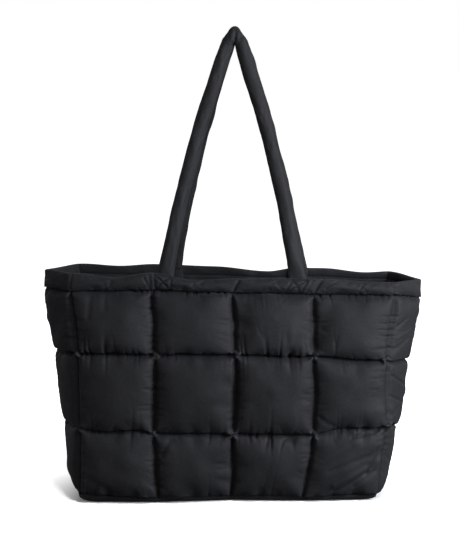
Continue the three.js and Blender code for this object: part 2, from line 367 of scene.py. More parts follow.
# Seams, pleats and folds of the quilting

GROOVE_DEPTH = 3 * MM
GROOVE_STEPS = 2.2  # half the width of a seam's valley, in steps of the fine grid
LEVEL_WIDTHS = (0.8, 0.8, 1.2, 1.6)  # how much wider each level seam's valley is, from the base up
LEVEL_DEPTHS = (0.7, 1, 1.7, 1.8)  # how much deeper
UPRIGHT_DEPTHS = (2.3, 1.1, 1.1, 0.9, 0.9)  # how much deeper each upright seam's valley is
SIDE_DEPTH = 0.45  # what is left of the valleys' depth at the side seams
SIDE_LAP = 0.2 * MM  # how far the cloth laps over the other face's at the side seams
LIP_RISE = 3 * MM  # a lip of the panel stands up inside the hem and closes the joint
LIP_FRONT = 3.7 * MM
LIP_BACK = 4.7 * MM
LINING_HALF = 5 * MM  # how far the lining stands behind the middle of a seam
ROW_SAG = np.array([2, 4.5, 6]) * MM  # how far the lower part of a square hangs over the seam below it
SAG_PLACE = 0.11  # where a square hangs lowest, as a share of its height
SAG_REACH = 0.09
JITTER = 0.4 * MM  # how uneven the puffs are before the cloth settles
GATHER = 1.2 * MM  # small gathers beside the level seams, and how far they reach into a square
GATHER_REACH = 0.075
LUMPS = 0.5 * MM  # lumps of the filling under the settled cloth
WOBBLE = 0.9 * MM  # how far a line of stitching strays from its course
KNOT_REACH = 5  # knots of cloth where two lines of stitching cross, in mm
KNOT_LIFT = 4
KNOT_RUFFLE = 2
PLEAT_DEPTH = 4 * MM
PLEAT_HANG = 1.8  # how much longer the pleats above a seam are
PLEATS_ABOVE = (0.3, 0.3, 1, 0)  # how strong the pleats above each level seam are, from the base up
PLEATS_BELOW = (0, 0.7, 0.4, 0.5)
PLEATS_BESIDE = (0.25, 0.3, 0.3, 0.3, 0.6)  # and beside each upright seam
PLEAT_REACH = 0.09  # how far pleats run from a seam, as a share of the square

# Soft folds and dents of the outer cloth: (across, level) of both ends, half width and height in mm
FOLDS = {
    "front": (
        ((4.42, 0.11), (4.82, 0.35), 3.2, -2.2),
        ((4.82, 0.35), (4.97, 0.63), 3.2, -2),
        ((4.4, 0.2), (4.78, 0.42), 3.5, 1.5),
        ((4.66, 0.18), (4.92, 0.36), 2, -1.6),
        ((4.3, 0.42), (4.8, 0.6), 3.5, -1),
        ((4.55, 0.86), (4.88, 0.97), 2.6, -1.8),
        ((4.1, 0.55), (4.6, 0.8), 7, 1),
        ((3.1, 2.55), (3.14, 2.75), 11, -2),
        ((4.14, 2.62), (4.2, 2.8), 12, -2),
        ((3.25, 1.4), (3.4, 1.5), 9, -1.4),
        ((4.08, 1.22), (4.26, 1.12), 2.6, -1.2),
        ((5.08, 2.2), (5.5, 2.36), 2, -1.3),
        ((5.05, 2.5), (5.35, 2.66), 2.2, -1.1),
        ((5.1, 2.35), (5.6, 2.5), 2.4, 0.8),
        ((5.08, 1.78), (5.6, 1.62), 2.2, -1.3),
        ((5.08, 1.46), (5.5, 1.36), 2, -1.2),
        ((5.06, 1.18), (5.4, 1.32), 2.4, -1.1),
        ((5.1, 0.78), (5.5, 0.84), 2.2, -1.2),
        ((5.1, 0.52), (5.4, 0.4), 2.2, -1.1),
        ((1.2, 2.6), (1.26, 2.93), 3.5, -1),
        ((1.42, 2.7), (1.44, 2.95), 3, -0.8),
        ((2.08, 0.7), (2.2, 0.9), 4, -1.5),
        ((1.1, 0.3), (1.4, 0.1), 6, -0.8),
        ((2.5, 1.2), (2.9, 1.5), 8, -0.8),
    ),
    "back": (
        ((1.3, 0.2), (1.8, 0.5), 5, -1.2),
        ((2.1, 2.5), (2.2, 2.8), 7, -1.8),
        ((3.5, 1.3), (3.8, 1.6), 6, -1.2),
        ((4.4, 0.6), (4.7, 0.9), 4, -1.4),
        ((4.1, 2.3), (4.3, 2.6), 8, -1.6),
    ),
}

HALF_STEPS = 22  # cloth steps across a half square beside a side seam
FULL_STEPS = 36  # across a whole square
ROW_STEPS = 32  # up a square
ACROSS_COUNTS = [HALF_STEPS] + [FULL_STEPS] * (COLUMNS - 2) + [HALF_STEPS]


def sew_ends(points, face, across):
    """Laps the ends of a face's cloth a little over the other face's, so that no light shows between."""
    ends = (across <= 0) | (across >= COLUMNS)
    points[:, ends, 1] = -face * SIDE_LAP
    return points


def knots(rng, fine, out, sunk, rows, columns):
    """Draws the cloth in by sunk, but for small ruffled bunches where two lines of stitching cross."""
    lift = np.zeros(sunk.shape)
    ruffle = smooth_noise(rng, sunk.shape, (2.6, 2.6))
    for r in rows:
        for c in columns:
            away = (fine - fine[r, c]) / MM
            side, up = away[..., 0], away[..., 2]
            reach = np.hypot(side, up)
            turn = np.arctan2(up, side)
            star = np.cos(rng.integers(3, 6) * turn + rng.uniform(0, math.tau))
            near = np.exp(-((reach / KNOT_REACH) ** 2))
            lift += near * (KNOT_LIFT * rng.uniform(0.7, 1.1) * (1 + 0.5 * star) + KNOT_RUFFLE * ruffle) * MM
            sunk = sunk * (1 - near)
    return fine + out * (lift - sunk)[..., None]


def folded(face_folds, across, level, lift):
    """Adds soft folds and dents along short lines, each with its half width and height in mm."""
    column_size = (wall(-1, 3.5, 1.5) - wall(-1, 2.5, 1.5))[0] / MM
    row_size = (wall(-1, 3.5, 2) - wall(-1, 3.5, 1))[2] / MM
    for begin, end, half, height in face_folds:
        way = (np.array(end) - begin) * (column_size, row_size)
        side, up = (across - begin[0]) * column_size, (level - begin[1]) * row_size
        length = np.hypot(*way)
        along = np.clip((side * way[0] + up * way[1]) / length**2, 0, 1)
        far = np.hypot(side - along * way[0], up - along * way[1])
        lift = lift + height * MM * np.exp(-((far / half) ** 2))
    return lift


def pleats(rng, shape, to_seam, lump):
    """Short sharp pleats that run off a seam. lump is their spacing in grid steps, along and off it."""
    ripple = smooth_noise(rng, shape, lump)
    reach = PLEAT_REACH * (1 + 0.6 * np.clip(smooth_noise(rng, shape, (60, 14)), -1, 1.5))
    many = np.clip(0.5 + 0.8 * smooth_noise(rng, shape, (50, 22)), 0, 1.3)
    return many * np.exp(-((ripple / 0.3) ** 2)) * np.exp(-((to_seam / reach) ** 1.5))


def groove(share, steps, width):
    """A narrow valley along both edges of each square. width is in steps of the grid."""
    away = np.minimum(share, 1 - share) * steps
    return np.exp(-((away / width) ** 2))


def panel(name, material, seed):
    face = FACES[name]
    rng = np.random.default_rng(seed)
    column, share, across = stations(ACROSS_COUNTS)
    row, rise, up = stations([ROW_STEPS] * ROWS)
    across_at, up_at = np.meshgrid(across, up)
    shape = across_at.shape
    inner = np.ones(shape)
    inner[[0, -1]] = 0
    middle = slipped_wall(face, across_at, up_at)
    stray = inner * np.minimum(1, 4 * np.minimum(across_at, COLUMNS - across_at))
    middle[..., 0] += WOBBLE * stray * smooth_noise(rng, shape, (10, 14))
    middle[..., 2] += WOBBLE * stray * smooth_noise(rng, shape, (12, 10))
    out = outward(face, across_at, up_at)
    full = fullness(share)[None, :] * fullness(rise)[:, None]
    crown = CROWNS[row][:, column] * full

    # The outer cloth starts as plain puffs, with its excess gathered beside the level seams
    on_upright = share == 0
    on_upright[-1] = True
    on_line = rise == 0
    on_line[-1] = True
    pinned = on_upright[None, :] | on_line[:, None]
    edge = np.maximum(fullness(share)[None, :], fullness(rise)[:, None])
    to_line = np.minimum(rise, 1 - rise)[:, None] * np.ones(shape)
    lift = SEAM_HALF + PUFF_OUT * crown * (1 + 0.12 * smooth_noise(rng, shape, (24, 24)))
    lift += inner * (SEAM_BOW * edge * (1 - full) + JITTER * smooth_noise(rng, shape, (4, 4)))
    lift += inner * GATHER * smooth_noise(rng, shape, (9, 4)) * np.exp(-to_line / GATHER_REACH)
    start = middle + out * lift[..., None]
    sag = ROW_SAG[row] * np.exp(-(((rise - SAG_PLACE) / SAG_REACH) ** 2))
    start[..., 2] -= sag[:, None] * fullness(share)[None, :]
    start[pinned] = (middle + out * (SEAM_HALF + inner * SEAM_BOW * edge * (1 - full))[..., None])[pinned]
    loose = np.clip(0.3 + 0.8 * smooth_noise(rng, shape, (14, 14)), 0, 1)
    loose *= 0.45 + 0.55 * np.exp(-to_line / 0.17)
    settled = settle(face, start, pinned, loose, most_loose=0.17, pressure=20, bending=0.06)

    # Stitching draws the cloth into valleys, with pleats beside them and knots where they cross
    fine = refine(settled)
    upright = 2 * np.flatnonzero(on_upright)[1:-1]
    level = 2 * np.flatnonzero(on_line)[1:-1]
    normals = refine(out)
    counts = 2 * np.array(ACROSS_COUNTS)
    fine_column, fine_share, fine_across = stations(counts)
    _, fine_rise, fine_up = stations([2 * ROW_STEPS] * ROWS)
    level_depth = np.interp(fine_up, range(ROWS + 1), LEVEL_DEPTHS)[:, None]
    upright_depth = np.interp(fine_across, range(1, COLUMNS), UPRIGHT_DEPTHS)[None, :]
    up_groove = upright_depth * groove(fine_share, counts[fine_column], GROOVE_STEPS)[None, :]
    level_width = GROOVE_STEPS * np.interp(fine_up, range(ROWS + 1), LEVEL_WIDTHS)
    level_groove = level_depth * groove(fine_rise, 2 * ROW_STEPS, level_width)[:, None]
    to_side = np.interp(fine_across, (0, 1, COLUMNS - 1, COLUMNS), (SIDE_DEPTH, 1, 1, SIDE_DEPTH))
    sunk = GROOVE_DEPTH * to_side * np.maximum(up_groove, level_groove)
    seam_below = np.minimum(fine_up.astype(int), ROWS - 1)
    above_seam = np.take(PLEATS_ABOVE, seam_below)
    below_seam = np.take(PLEATS_BELOW, seam_below + 1)
    strength = np.where(fine_rise < 0.5, above_seam, below_seam)
    beside = np.interp(fine_across, range(1, COLUMNS), PLEATS_BESIDE)
    to_level = np.minimum(fine_rise / PLEAT_HANG, 1 - fine_rise)[:, None]
    to_upright = np.minimum(fine_share, 1 - fine_share)[None, :]
    puckers = PLEAT_DEPTH * strength[:, None] * pleats(rng, sunk.shape, to_level, (40, 5))
    puckers += PLEAT_DEPTH * beside * pleats(rng, sunk.shape, to_upright, (6, 36))
    puckers -= LUMPS * smooth_noise(rng, sunk.shape, (13, 13)) * refine(full[..., None])[..., 0]
    puckers -= folded(FOLDS[name], *np.meshgrid(fine_across, fine_up), 0)
    fine -= surface_normals(fine, face) * puckers[..., None]
    fine = knots(rng, fine, normals, sunk, level, upright)
    lip = refine(middle)[-1] - normals[-1] * LIP_FRONT
    fine = np.concatenate([fine, [lip + UP * LIP_RISE / 2, lip + UP * LIP_RISE]])
    fine = sew_ends(fine, face, fine_across)
    uneven = 1 + 0.1 * smooth_noise(rng, shape, (10, 10))
    lining = middle - out * (LINING_HALF + PUFF_IN * crown * uneven)[..., None]
    lining = np.concatenate([lining, [middle[-1] - out[-1] * LIP_BACK + UP * LIP_RISE]])
    lining = sew_ends(lining, face, across)
    piece = slab(f"{name}_quilting", fine, lining, face > 0)
    add_piece(piece, f"{name}_panel", material)
    lines = [(fine[r], normals[r]) for r in level]
    lines += [(fine[: len(normals), c], normals[:, c]) for c in upright]
    return lines


# Hem

HEM_ROWS = 16
HEM_INNER_STITCHES = (0.55,)  # lines of stitching on the inner side, as shares of the hem's height
HEM_DENT = 0.6  # what is left of the hem's crown where an upright seam meets it
HEM_TUCK = 3.5 * MM  # how far the hem's lower edge is drawn in
HEM_SAG = 2.5 * MM  # how far the hem's lower part hangs over its seam
HEM_SAG_PLACE = 0.16  # as a share of the hem's height
HEM_SAG_REACH = 0.12
HEM_UNEVEN = 0.45 * MM
RIM_EDGE_HALF = 0.5 * MM
BOX_HALF = 9.5 * MM  # half the width of the crossed square that holds a handle's foot
BOX_LOW = 0.05  # where the square begins and ends, as shares of the hem's height
BOX_HIGH = 0.92
BOX_SINK = 1.5 * MM
CREASE_HALF = 1.1 * MM
LINE_POINTS = 24  # how many points a drawn-in line has

# Creases that run through the hem, from (across, rise) to (across, rise) with their depths in mm
HEM_CREASES = {
    "front": (
        ((1.0, 0), (1.04, 0.9), 1.2),
        ((1.93, 0.7), (2.0, 0), 1.3),
        ((2.06, 1), (2.07, 0.1), 1),
        ((2.5, 0.5), (2.62, 0.9), 0.8),
        ((3.0, 0), (3.02, 0.8), 1.5),
        ((3.34, 0.3), (3.47, 0.8), 0.6),
        ((3.9, 0.95), (3.91, 0.05), 1),
        ((4.0, 0), (4.03, 0.95), 1.5),
        ((4.12, 0.35), (4.22, 0.85), 1.2),
        ((4.55, 0.3), (4.57, 0.85), 0.7),
        ((5.0, 0), (4.97, 0.6), 1),
    ),
    "back": (
        ((1.0, 0), (1.03, 0.8), 1),
        ((2.0, 0), (2.05, 0.9), 1.3),
        ((3.0, 0), (2.96, 0.8), 1.3),
        ((4.0, 0), (4.04, 0.9), 1.3),
        ((5.0, 0), (5.0, 0.7), 1),
    ),
}


def rim_wave(face, x):
    left, right = RIM_WAVES[face]
    places, heights = zip(*left, *right)
    at = np.clip(x / RIM_HALF, -1, 1)
    k = np.clip(np.searchsorted(places, at) - 1, 0, len(places) - 2)
    places, heights = np.array(places), np.array(heights)
    share = (at - places[k]) / (places[k + 1] - places[k])
    return lerp(heights[k], heights[k + 1], (1 - np.cos(math.pi * share)) / 2) * MM


def hem_wall(face, across, rise):
    points = slipped_wall(face, across, HEM_LEVEL + rise)
    points[..., 2] += rim_wave(face, points[..., 0]) * np.asarray(rise) ** 1.5
    return points


def box_lines(face, foot):
    """The crossed square of stitching over a handle's foot, as lines of (across, rise) places."""
    half = BOX_HALF / np.linalg.norm(wall(face, foot + 0.5, HEM_LEVEL) - wall(face, foot - 0.5, HEM_LEVEL))
    corners = [(foot + side * half, rise) for side in (-1, 1) for rise in (BOX_LOW, BOX_HIGH)]
    return [np.linspace(a, b, LINE_POINTS) for a, b in combinations(corners, 2)]


def hem(name, material, seed):
    face = FACES[name]
    rng = np.random.default_rng(seed)
    _, share, across = stations(ACROSS_COUNTS)
    rise = np.linspace(0, 1, HEM_ROWS + 1)
    across_at, rise_at = np.meshgrid(across, rise)
    shape = across_at.shape
    middle = hem_wall(face, across_at, rise_at)
    out = outward(face, across_at, HEM_LEVEL + rise_at)
    dent = lerp(HEM_DENT, 1, fullness(share))[None, :]
    inner = np.ones(shape)
    inner[[0, -1]] = 0
    rolled = np.sqrt(1 - (1 - np.minimum(1, rise / HEM_SHOULDER)) ** 2)
    rolled *= np.sqrt(1 - np.clip((rise - HEM_SHOULDER) / (1 - HEM_SHOULDER), 0, 1) ** 6)
    beside = np.interp(across, (0, 1, COLUMNS - 1, COLUMNS), (0, 1, 1, 0))
    lift = SEAM_HALF + HEM_PUFF_OUT * rolled[:, None] * dent * beside
    lift[0] = SEAM_HALF - HEM_TUCK
    lift[-1] = RIM_EDGE_HALF
    lift = lift + inner * HEM_UNEVEN * smooth_noise(rng, shape, (7, 8))
    start = middle + out * lift[..., None]
    start[..., 2] -= HEM_SAG * np.exp(-(((rise - HEM_SAG_PLACE) / HEM_SAG_REACH) ** 2))[:, None]
    pinned = np.zeros(shape, bool)
    pinned[[0, -1]] = True
    pinned[:, [0, -1]] = True
    loose = np.clip(0.4 + 0.6 * smooth_noise(rng, shape, (20, 12)), 0, 1)
    settled = settle(face, start, pinned, loose * beside, most_loose=0.09, pressure=3, bending=0.05)
    fine = refine(settled)
    fine_across = refine(across_at[..., None])[..., 0]
    fine_rise = refine(rise_at[..., None])[..., 0]
    normals = refine(out)

    # Stitching over the handles' feet and creases beside them pull the hem in
    box = [line for foot in FEET[name] for line in box_lines(face, foot)]
    column_size = np.linalg.norm(wall(face, 3.5, HEM_LEVEL) - wall(face, 2.5, HEM_LEVEL))
    hem_height = middle[-1, shape[1] // 2, 2] - middle[0, shape[1] // 2, 2]
    drawn = [(line, BOX_SINK) for line in box]
    drawn += [(np.linspace(a, b, LINE_POINTS), depth * MM) for a, b, depth in HEM_CREASES[name]]
    sunk = np.zeros(fine.shape[:2])
    for line, depth in drawn:
        for at, up in line:
            far = np.hypot((fine_across - at) * column_size, (fine_rise - up) * hem_height)
            sunk = np.maximum(sunk, depth * np.exp(-((far / CREASE_HALF) ** 2)))
    fine -= normals * sunk[..., None]
    fine = sew_ends(fine, face, fine_across[0])

    seat = refine(middle)
    inner_lift = np.zeros(fine.shape[:2])
    bands = (0, *HEM_INNER_STITCHES, 1)
    for low, high in zip(bands, bands[1:]):
        inside = (fine_rise > low) & (fine_rise < high)
        inner_lift[inside] = HEM_PUFF_IN * fullness((fine_rise[inside] - low) / (high - low))
    inner_lift = inner_lift * (0.85 + 0.15 * smooth_noise(rng, fine.shape[:2], (10, 8)))
    lining = seat - normals * (SEAM_HALF + inner_lift)[..., None]
    lining[-1] = seat[-1] - normals[-1] * RIM_EDGE_HALF
    lining = sew_ends(lining, face, fine_across[0])
    piece = slab(f"{name}_hem", fine, lining, face > 0)
    add_piece(piece, f"{name}_band", material)

    rows = fine.shape[0] - 1
    sewn = []
    for stitch in HEM_INNER_STITCHES:
        sewn.append((lining[round(stitch * rows)], -normals[round(stitch * rows)]))
    for line in box:
        at = np.interp(line[:, 0], fine_across[0], np.arange(fine.shape[1]))
        sewn.append((on_grid(fine, line[:, 1] * rows, at), on_grid(normals, line[:, 1] * rows, at)))
    return sewn


# Base

BASE_STEPS = 20
BASE_ROUND = 6 * MM  # how far in from its seam the base's edge has rounded down to the floor
BASE_END_ROUND = 27 * MM  # the same at the base's two ends
BASE_SEAM_LIFT = 2 * MM
BASE_PUFF = 7 * MM
BASE_FLATNESS = 1.6  # how far out from its middle a square lies flat on the floor
BASE_CROWDING = 1.7  # higher moves the steps closer together at the base's edge


def crowded(share, ends):
    """Moves places along a row of squares closer together near the row's ends."""
    moved = share.copy()
    moved[ends < 0] = share[ends < 0] ** BASE_CROWDING
    moved[ends > 0] = 1 - (1 - share[ends > 0]) ** BASE_CROWDING
    return moved


def base(material, seed):
    rng = np.random.default_rng(seed)
    squares = COLUMNS - 2
    square, share, _ = stations([BASE_STEPS] * squares)
    depth_square, depth_share, _ = stations([BASE_STEPS] * 2)
    share = crowded(share, np.where(square == 0, -1, np.where(square == squares - 1, 1, 0)))
    depth_share = crowded(depth_share, 2 * depth_square - 1)
    across_at, deep_at = np.meshgrid(square + share, depth_square + depth_share - 1)
    at = level_at(np.float64(BASE_LEVEL))
    edge = wall(1, across_at + 1, BASE_LEVEL)
    spread = np.abs(deep_at)
    x = (edge[..., 0] - at["lean"]) * lerp(at["side"] / at["corner"], 1, spread) + at["lean"]
    left_slip, right_slip = SLIP_ACROSS[BASE_LEVEL][0] * MM, SLIP_ACROSS[BASE_LEVEL][-1] * MM
    x += lerp(left_slip, right_slip, across_at / squares) * (1 - spread)
    y = edge[..., 1] * deep_at
    face = np.where(deep_at > 0, 1, -1)
    front_slip = slip(-1, SLIP_OUT, across_at + 1, BASE_LEVEL) * spread
    y += face * np.where(face < 0, front_slip, -BACK_SLIP * front_slip)
    left_up, right_up = SLIP_UP[BASE_LEVEL][0] * MM, SLIP_UP[BASE_LEVEL][-1] * MM
    edge_up = slip(-1, SLIP_UP, across_at + 1, BASE_LEVEL) * np.where(face < 0, 1, BACK_SLIP)
    up = lerp(lerp(left_up, right_up, across_at / squares), edge_up, spread)
    full = fullness(share)[None, :] * fullness(depth_share)[:, None]
    to_end = np.minimum(across_at, squares - across_at) * (edge[0, -1, 0] - edge[0, 0, 0]) / squares
    to_side = (1 - spread) * edge[..., 1]
    roll = np.maximum(np.clip(1 - to_end / BASE_END_ROUND, 0, 1), np.clip(1 - to_side / BASE_ROUND, 0, 1))
    border = roll >= 1

    rough = 1 + 0.15 * smooth_noise(rng, x.shape, (5, 5))
    seam = height_at(at, x) + up - GAP
    rounded = seam * (1 - np.sqrt(1 - roll**2))
    flat = np.minimum(1, BASE_FLATNESS * full * rough)
    under = np.maximum(rounded, BASE_SEAM_LIFT * (1 - flat) * (1 - roll))
    inside = BASE_SEAM_LIFT + 2 * SEAM_HALF + BASE_PUFF * full * rough
    above = np.where(border, seam + GAP / 2, np.maximum(inside, under + SEAM_HALF))
    fine = refine(np.stack([x, y, under], -1))
    fine[..., 2] = np.maximum(fine[..., 2], 0)
    piece = slab("base_quilting", fine, np.stack([x, y, above], -1), True)
    add_piece(piece, "base_panel", material)
    down = np.broadcast_to([0.0, 0.0, -1.0], fine.shape)
    step = 2 * BASE_STEPS
    lines = [(fine[step], down[step])]
    lines += [(fine[:, step * k], down[:, step * k]) for k in range(1, squares)]
    return lines


# Handles

HANDLE_RISE = 306 * MM
HANDLE_WIDTH = 18 * MM
HANDLE_DEPTH = 16 * MM
TAB_WIDTH = 22 * MM
TAB_DEPTH = 5 * MM
TAB_DROP = 16 * MM  # how far the flat sewn end reaches down behind the hem
TAB_STEPS = 8
TAB_CALM = 0.3  # what is left of the tube's lumps on its flat ends
LEG_BOW = 6.3 * MM
FOLD_HEIGHT = 24 * MM
FOLD_RADIUS = 0.8 * MM
FOLD_PEAK = 7
FOLD_WIDTH = 16 * MM  # the tube is squeezed narrower where it goes into the fold
FOLD_TAPER = 0.1  # over this share of a leg
FOLD_X = 4.5 * MM
FOLD_SLANT = math.radians(18)
FOLD_CREASE = 0.53  # where the folded tube creases, as a share of the way over the fold
FOLD_CREASE_REACH = 0.06
FOLD_PINCH = 0.22  # how much thinner it is there
FILL_LENGTH = 60 * MM
SIDES = 40
LEG_STEPS = 150
FOLD_STEPS = 48

# Lumps of the stuffed tube: waves round it, their length along it in steps, and their height in mm
TUBE_LUMPS = ((1, 16, 0.3), (2, 12, 0.28), (3, 7, 0.2), (5, 5, 0.14), (7, 4, 0.1))
CLOSING_SEAM_TURN = 1.25 * math.pi  # where the tube is sewn shut, as an angle round it
CLOSING_SEAM_DEPTH = 0.15  # in mm
CLOSING_SEAM_REACH = 0.13  # half its width, as an angle
FOLD_RAYS = 0.2  # height of the small creases that run from the fold, in mm


def unit(v):
    return v / np.linalg.norm(v, axis=-1, keepdims=True)


def leg_sections(face, foot, side, fold_at):
    """Centres, axes and half sizes of one leg's sections, from its flat sewn end up to the fold."""
    seat = SEAM_HALF + HEM_PUFF_IN + GAP + TAB_DEPTH / 2
    out = outward(face, np.array([float(foot)]), RIM_LEVEL)[0]
    rim = wall(face, foot, RIM_LEVEL) - out * seat
    to_back = out * face
    flat = np.array([to_back[1], -to_back[0], 0]) * side
    slope = wall(face, foot, RIM_LEVEL) - wall(face, foot, HEM_LEVEL)
    sections = []
    for drop in np.linspace(TAB_DROP, 0, TAB_STEPS):
        center = rim - slope / slope[2] * drop
        sections.append((center, flat, TAB_WIDTH / 2, to_back, TAB_DEPTH / 2))
    axis = np.array([side * math.cos(FOLD_SLANT), 0, math.sin(FOLD_SLANT)])
    end = fold_at + axis * (FOLD_RADIUS + FOLD_WIDTH / 2)
    bend = (rim + end) / 2 + np.array([side * 2 * LEG_BOW, 0, 0])
    length = np.linalg.norm(end - rim)
    for step in range(1, LEG_STEPS):
        t = step / LEG_STEPS
        center = (1 - t) ** 2 * rim + 2 * t * (1 - t) * bend + t * t * end
        along = unit((1 - t) * (bend - rim) + t * (end - bend))
        width_axis = unit(np.array([side * along[2], 0, -side * along[0]]))
        filled = math.sqrt(min(1, t * length / FILL_LENGTH))
        squeezed = max(0, (t - 1 + FOLD_TAPER) / FOLD_TAPER) ** 1.5
        half_width = lerp(lerp(TAB_WIDTH, HANDLE_WIDTH, filled), FOLD_WIDTH, squeezed) / 2
        half_depth = lerp(TAB_DEPTH, HANDLE_DEPTH, filled) / 2
        depth_axis = unit(lerp(to_back, BACKWARD, min(1, 4 * t)))
        sections.append((center, width_axis, half_width, depth_axis, half_depth))
    return sections


def handle(name, material, seed):
    face = FACES[name]
    rng = np.random.default_rng(seed)
    fold_at = np.array([FOLD_X, face * (HANDLE_DEPTH + GAP) / 2, BODY_HEIGHT + HANDLE_RISE - FOLD_HEIGHT])
    left, right = FEET[name]
    sections = leg_sections(face, left, -1, fold_at)
    leg_count = len(sections)
    sweep = math.pi - 2 * FOLD_SLANT
    for step in range(FOLD_STEPS + 1):
        share = step / FOLD_STEPS
        angle = math.pi - FOLD_SLANT - share * sweep
        axis = np.array([math.cos(angle), 0, math.sin(angle)])
        peak = math.sin(math.pi * share) ** FOLD_PEAK
        size = lerp(FOLD_WIDTH, FOLD_HEIGHT - FOLD_RADIUS, peak)
        crease = math.exp(-(((share - FOLD_CREASE) / FOLD_CREASE_REACH) ** 2))
        thin = HANDLE_DEPTH / 2 * (1 - FOLD_PINCH * crease)
        center = fold_at + axis * (FOLD_RADIUS + size / 2)
        sections.append((center, axis, size / 2, BACKWARD, thin))
    sections += leg_sections(face, right, 1, fold_at)[::-1]
    center, width_axis, half_width, depth_axis, half_depth = (np.array(part) for part in zip(*sections))

    # Small lumps and creases of the stuffed tube, and the closing seam along its inner side
    count = len(sections)
    angle = np.arange(SIDES) * math.tau / SIDES
    wrinkle = np.zeros((count, SIDES))
    for wave, lump, size in TUBE_LUMPS:
        drift = smooth_noise(rng, (count, 8), (lump, 4))[:, :2]
        wrinkle += size * (drift[:, :1] * np.cos(wave * angle) + drift[:, 1:] * np.sin(wave * angle))
    seam_turn = np.angle(np.exp(1j * (angle - CLOSING_SEAM_TURN)))
    wrinkle -= CLOSING_SEAM_DEPTH * np.exp(-((seam_turn / CLOSING_SEAM_REACH) ** 2))
    near_fold = np.exp(-(((np.arange(count) - leg_count - FOLD_STEPS / 2) / (FOLD_STEPS * 0.6)) ** 2))
    rays = smooth_noise(rng, (count, SIDES + 8), (3, 9))[:, :SIDES] * np.sin(angle / 2) ** 2
    wrinkle += FOLD_RAYS * near_fold[:, None] * rays
    tab = np.ones(count)
    tab[:TAB_STEPS] = TAB_CALM
    tab[-TAB_STEPS:] = TAB_CALM
    wrinkle *= tab[:, None] * MM
    sideways = (half_width[:, None] + wrinkle) * np.cos(angle)
    through = (half_depth[:, None] + wrinkle) * np.sin(angle)
    points = center[:, None] + width_axis[:, None] * sideways[..., None]
    points += depth_axis[:, None] * through[..., None]
    ring = np.arange(SIDES)
    faces = []
    for k in range(count - 1):
        low, high = k * SIDES, (k + 1) * SIDES
        turn = (ring + 1) % SIDES
        faces += np.stack([low + ring, high + ring, high + turn, low + turn], -1).tolist()
    faces.append(ring.tolist())
    faces.append(((count - 1) * SIDES + ring[::-1]).tolist())
    piece = new_mesh(f"{name}_handle_tube", points, faces)
    add_piece(piece, f"{name}_handle", material)


# Stitching

STITCH_LENGTH = 2.5 * MM
STITCH_PITCH = 3.4 * MM
STITCH_HALF = 0.32 * MM
STITCH_SIDES = 6
STITCH_RINGS = ((-0.75, 0.8), (0, 1), (0.75, 0.8))  # place along the stitch and thickness, as shares


def sampled(at, reach, values):
    """Values along a line, given at the distances reach, at other distances."""
    return np.stack([np.interp(at, reach, values[:, k]) for k in range(3)], -1)


def stitched(name, lines, material):
    """Rows of thread along lines, each a pair of points and outward directions."""
    places, ways, outs = [], [], []
    for points, normals in lines:
        steps = np.linalg.norm(np.diff(points, axis=0), axis=1)
        reach = np.concatenate([[0], np.cumsum(steps)])
        at = np.arange(STITCH_PITCH / 2, reach[-1], STITCH_PITCH)
        places.append(sampled(at, reach, points))
        begins = sampled(at - STITCH_LENGTH / 2, reach, points)
        ways.append(unit(sampled(at + STITCH_LENGTH / 2, reach, points) - begins))
        outs.append(sampled(at, reach, normals))
    place, way, out = (np.concatenate(part) for part in (places, ways, outs))
    side = unit(np.cross(way, out))
    out = np.cross(side, way)
    place = place + out * STITCH_HALF * 0.5
    rings = []
    for along, thick in STITCH_RINGS:
        for k in range(STITCH_SIDES):
            turn = math.tau * k / STITCH_SIDES
            offset = side * math.cos(turn) + out * math.sin(turn)
            rings.append(place + way * along * STITCH_LENGTH / 2 + offset * thick * STITCH_HALF)
    tips = [place - way * STITCH_LENGTH / 2, place + way * STITCH_LENGTH / 2]
    points = np.stack(rings + tips, 1)
    count = len(STITCH_RINGS) * STITCH_SIDES
    shape = []
    for k in range(STITCH_SIDES):
        turn = (k + 1) % STITCH_SIDES
        shape.append([turn, k, count])
        for ring in range(len(STITCH_RINGS) - 1):
            low, high = ring * STITCH_SIDES, (ring + 1) * STITCH_SIDES
            shape.append([low + k, low + turn, high + turn, high + k])
        last = (len(STITCH_RINGS) - 1) * STITCH_SIDES
        shape.append([last + k, last + turn, count + 1])
    faces = []
    for stitch in range(len(place)):
        faces += [[vertex + stitch * (count + 2) for vertex in part] for part in shape]
    piece = new_mesh(name, points, faces)
    add_piece(piece, None, material)


# Materials

def node(tree, kind, **values):
    made = tree.nodes.new(kind)
    for key, value in values.items():
        if key in made.inputs:
            made.inputs[key].default_value = value
        else:
            setattr(made, key, value)
    return made


